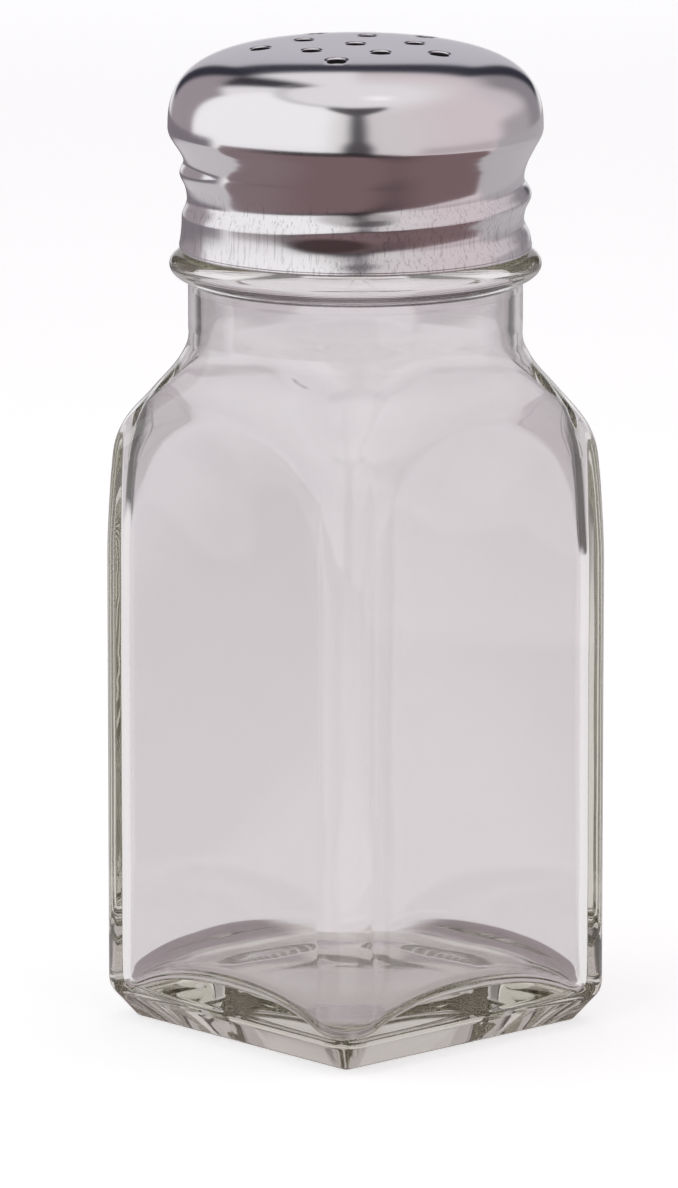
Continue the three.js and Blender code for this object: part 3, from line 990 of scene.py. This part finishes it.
def ground_in_steel(azimuth, radius):
    """The dark table reaches far to the left and less far to the right, up to the cloths' feet."""
    reach = np.interp(azimuth, [-90, -60, 0, 10, 30, 60, 93], [0.5, 0.56, 0.56, 0.45, 0.33, 0.235, 0.21])
    light = tent_in_steel(azimuth, np.full(azimuth.shape, -5.0))
    light = lay(light, (0.62, 0.6, 0.62), window(azimuth, -200, -96, 4))
    light = lay(light, (0.53, 0.51, 0.53), window(azimuth, 96, 200, 4))
    far = smooth_rise(radius, 0.25, 0.4)
    light = lay(light, (0.22, 0.2, 0.22), far * window(azimuth, -200, -100, 4))
    light = lay(light, (0.56, 0.49, 0.51), far * window(azimuth, 40, 96, 8))
    light = lay(light, (0.46, 0.44, 0.46), far * window(azimuth, 96, 200, 4))
    left = azimuth + np.interp(radius, [0.06, 0.3, 0.5], [98, 93, 89])
    right = np.interp(radius, [0.06, 0.2], [106, 92]) - azimuth
    table = smooth_rise(left, -1.5, 1.5) * smooth_rise(right, -1.5, 1.5)
    table = table * (1 - smooth_rise(radius - reach, -0.004, 0.004))
    light = lay(light, TABLE, table)
    light = lay(light, (0.25, 0.19, 0.205), window(azimuth, -110, -50, 25) * table)
    edge = window(azimuth, -60, 26, 30) * smooth_rise(radius - reach, -0.34, -0.14)
    return lay(light, (0.02, 0.016, 0.018), edge * table)


# %% [markdown]
# ### What the glass shows
# The glass bends the light, so its dark edges, the humps of the floor and the V in the base are
# views of what lies behind, beside and under it. These colours were found by giving each part of
# the tent and the ground a colour of its own, and seeing where in the glass it came out. One room
# that suits both the dome and the glass was not found. So the cloth has a second set of colours
# for rays that come through glass, which no real cloth could have.


# %% The tent as the glass shows it
BACK_CLOTH = (0.95, 0.94, 0.952)
SIDE_CLOTH = (0.74, 0.72, 0.73)
CORNER_CLOTH = (0.12, 0.115, 0.11)
POLE = (0.36, 0.345, 0.34)
FOLD = (0.25, 0.23, 0.22)
SEAM = (0.6, 0.58, 0.59)
MAUVE_SHADE = (0.5, 0.455, 0.465)
BACK_SHADE = (0.42, 0.375, 0.385)
STANDING_SHADE = (0.2, 0.19, 0.17)
CORNER_SHADE = (0.8, 0.79, 0.74)
PALE_SHADE = (0.65, 0.63, 0.6)
SIDE_CLOTH_LATERAL = 0.038
GROUND_CLOTH_START = 0.33


def tent_in_glass(azimuth, elevation):
    """Pale behind the shaker, grey cloth beside that, and darker cloth further round. The tent's
    poles are the thin dark lines in the neck and the shoulder."""
    behind = np.abs(azimuth)
    edge = 180 - math.degrees(SIDE_CLOTH_LATERAL / TENT_RADIUS)
    light = np.ones((*azimuth.shape, 3)) * np.array(BACK_CLOTH)
    light = lay(light, SIDE_CLOTH, window(behind, 70, edge, 1) * window(elevation, -90, 40, 12))
    light = lay(light, POLE, window(behind, 153, 156, 1) * window(elevation, -90, 30, 4))
    light = lay(light, FOLD, 0.25 * window(behind, 160, 200, 4) * window(elevation, 16, 34, 8))
    return lay(light, CORNER_CLOTH, window(behind, 98, 146, 5) * window(elevation, -90, 40, 12))


def ground_in_glass(azimuth, radius):
    """Under the base pale in the middle and behind, mauve at the sides, and dark in rings in front,
    where the jar shades it; then white, dark on either side, and dimmer further back. The grey
    cloth lies beside that, and a thin seam runs along the back."""
    behind = np.abs(azimuth)
    lateral = radius * np.sin(np.radians(behind))
    far = smooth_rise(radius, GROUND_CLOTH_START - 0.02, GROUND_CLOTH_START + 0.02)
    beside = smooth_rise(lateral, SIDE_CLOTH_LATERAL - 0.012, SIDE_CLOTH_LATERAL + 0.012)
    light = np.full((*azimuth.shape, 3), 1.05)
    light = lay(light, BACK_CLOTH, smooth_rise(radius, 0.08, 0.36))
    light = lay(light, SIDE_CLOTH, far * beside * window(behind, 100, 200, 5))
    light = lay(light, CORNER_CLOTH, far * window(behind, 98, 150, 6))
    light = lay(light, SEAM, window(radius, 0.56, 0.6, 0.02) * window(behind, 150, 200, 4))
    light = lay(light, STANDING_SHADE, window(radius, -1, 31 * MM, 2 * MM) * window(behind, -1, 60, 6))
    light = lay(light, CORNER_CLOTH, 0.8 * window(radius, 0.04, 0.3, 0.01) * window(behind, 40, 98, 5))
    rings = 0.5 + 0.5 * np.sin(2 * math.pi * radius / (1.1 * MM))
    outer = window(radius, 16.5 * MM, 31 * MM, MM) * window(behind, -1, 60, 6)
    light = lay(light, MAUVE_SHADE, 0.5 * rings * outer)
    under = window(radius, -1, 25.5 * MM, 1.5 * MM)
    light = lay(light, MAUVE_SHADE, (1 - 0.4 * rings) * under * window(behind, 60, 120, 4))
    light = lay(light, CORNER_SHADE, under * window(behind, 120, 200, 4))
    back = window(radius, 17.8 * MM, 29 * MM, 1.2 * MM) * window(behind, 96, 164, 4)
    light = lay(light, BACK_SHADE, back)
    return lay(light, PALE_SHADE, window(radius, -1, 15.5 * MM, MM))


# %% Cloth that shows one colour to steel and another through glass
def add_colours(mesh, name, colours):
    """A colour for each point, as an attribute that the material reads."""
    layer = mesh.attributes.new(name, "FLOAT_COLOR", "POINT")
    full = np.concatenate([colours, np.ones((*colours.shape[:-1], 1))], -1)
    layer.data.foreach_set("color", full.reshape(-1))


def cloth_material():
    """Emission that takes one attribute for rays through glass and the other for all the rest."""
    material, tree, shader, output = new_material("tent_cloth")
    tree.nodes.remove(shader)
    path = add_node(tree, "ShaderNodeLightPath")
    steel_colour = add_node(tree, "ShaderNodeAttribute", attribute_name="in_steel").outputs["Color"]
    glass_colour = add_node(tree, "ShaderNodeAttribute", attribute_name="in_glass").outputs["Color"]
    choice = {"Factor": path.outputs["Is Transmission Ray"], "A": steel_colour, "B": glass_colour}
    chosen = add_node(tree, "ShaderNodeMix", choice, data_type="RGBA")
    glow = add_node(tree, "ShaderNodeEmission", {"Color": chosen.outputs["Result"]})
    tree.links.new(glow.outputs["Emission"], output.inputs["Surface"])
    return material


CLOTH = cloth_material()


# %% The tent's shell
def make_tent():
    """Half an ellipsoid over the floor, with its colours on each point, shining inward."""
    across, up = 480, 160
    azimuth = np.linspace(-180, 180, across, endpoint=False)[None, :]
    rise = np.radians(np.linspace(0, 90, up))[:, None]
    reach = TENT_RADIUS * np.cos(rise) ** 0.7
    height = TENT_RADIUS * 1.1 * np.sin(rise)
    points = reach[..., None] * flat_direction(azimuth) + height[..., None] * np.array(UP)
    flat = np.hypot(points[..., 0], points[..., 1])
    elevation = np.degrees(np.arctan2(points[..., 2] - TENT_EYE, flat))
    azimuth = np.broadcast_to(azimuth, elevation.shape)
    tent = add_mesh("light_tent", points.reshape(-1, 3), grid_faces(up, across))
    add_colours(tent.data, "in_steel", tent_in_steel(azimuth, elevation))
    add_colours(tent.data, "in_glass", tent_in_glass(azimuth, elevation))
    tent.data.materials.append(CLOTH)
    tent.visible_camera = False
    tent.visible_shadow = False
    return tent


tent = make_tent()


# %% The cloth on the ground
def make_ground_cloth():
    """A flat sheet from under the base to the tent's foot, just above the floor."""
    across = 400
    azimuth = np.linspace(-180, 180, across, endpoint=False)[None, :]
    near = np.linspace(0.3 * MM, 50 * MM, 150)
    radius = np.concatenate([near, np.linspace(55 * MM, TENT_RADIUS, 80)])[:, None]
    height = 0.4 * MM * smooth_rise(radius, 30 * MM, 45 * MM) - 0.02 * MM
    points = radius[..., None] * flat_direction(azimuth) + height[..., None] * np.array(UP)
    azimuth, radius = np.broadcast_arrays(azimuth, radius)
    cloth = add_mesh("ground_cloth", points.reshape(-1, 3), grid_faces(radius.shape[0], across))
    add_colours(cloth.data, "in_steel", ground_in_steel(azimuth, radius))
    add_colours(cloth.data, "in_glass", ground_in_glass(azimuth, radius))
    cloth.data.materials.append(CLOTH)
    cloth.visible_camera = False
    cloth.visible_diffuse = False
    cloth.visible_shadow = False
    return cloth


ground_cloth = make_ground_cloth()


# %% [markdown]
# ### World
# The photograph's background is pure white, and its shadows are pale. The world is therefore white
# to the eye, and gives only half of that as light, so that the floor keeps a shadow.


# %% World
WORLD_LIGHT = 0.5


def make_world():
    """Plain white where the camera, metal or glass looks past the floor, soft grey otherwise."""
    world = bpy.data.worlds.new("studio")
    bpy.context.scene.world = world
    world.use_nodes = True
    tree = world.node_tree
    background = tree.nodes["Background"]
    strength = add_node(
        tree, "ShaderNodeMapRange",
        {"Value": seen_by_eye_metal_or_glass(tree), "To Min": WORLD_LIGHT, "To Max": 1.0},
    )
    background.inputs["Color"].default_value = (1, 1, 1, 1)
    tree.links.new(strength.outputs["Result"], background.inputs["Strength"])
    return world


make_world()

# %% [markdown]
# ## Colours as written, and light that finds its way through glass
# The Standard view shows a colour as it is written. Light is reflected inside the jar's walls and
# base many times before it gets out. Each of those turns counts as a glossy bounce, and with too
# few of them the edges and the base go black, so all three limits are high.

# %% View and light paths
BOUNCES = 64
scene = bpy.context.scene
scene.view_settings.view_transform = "Standard"
scene.cycles.max_bounces = BOUNCES
scene.cycles.transmission_bounces = BOUNCES
scene.cycles.glossy_bounces = BOUNCES
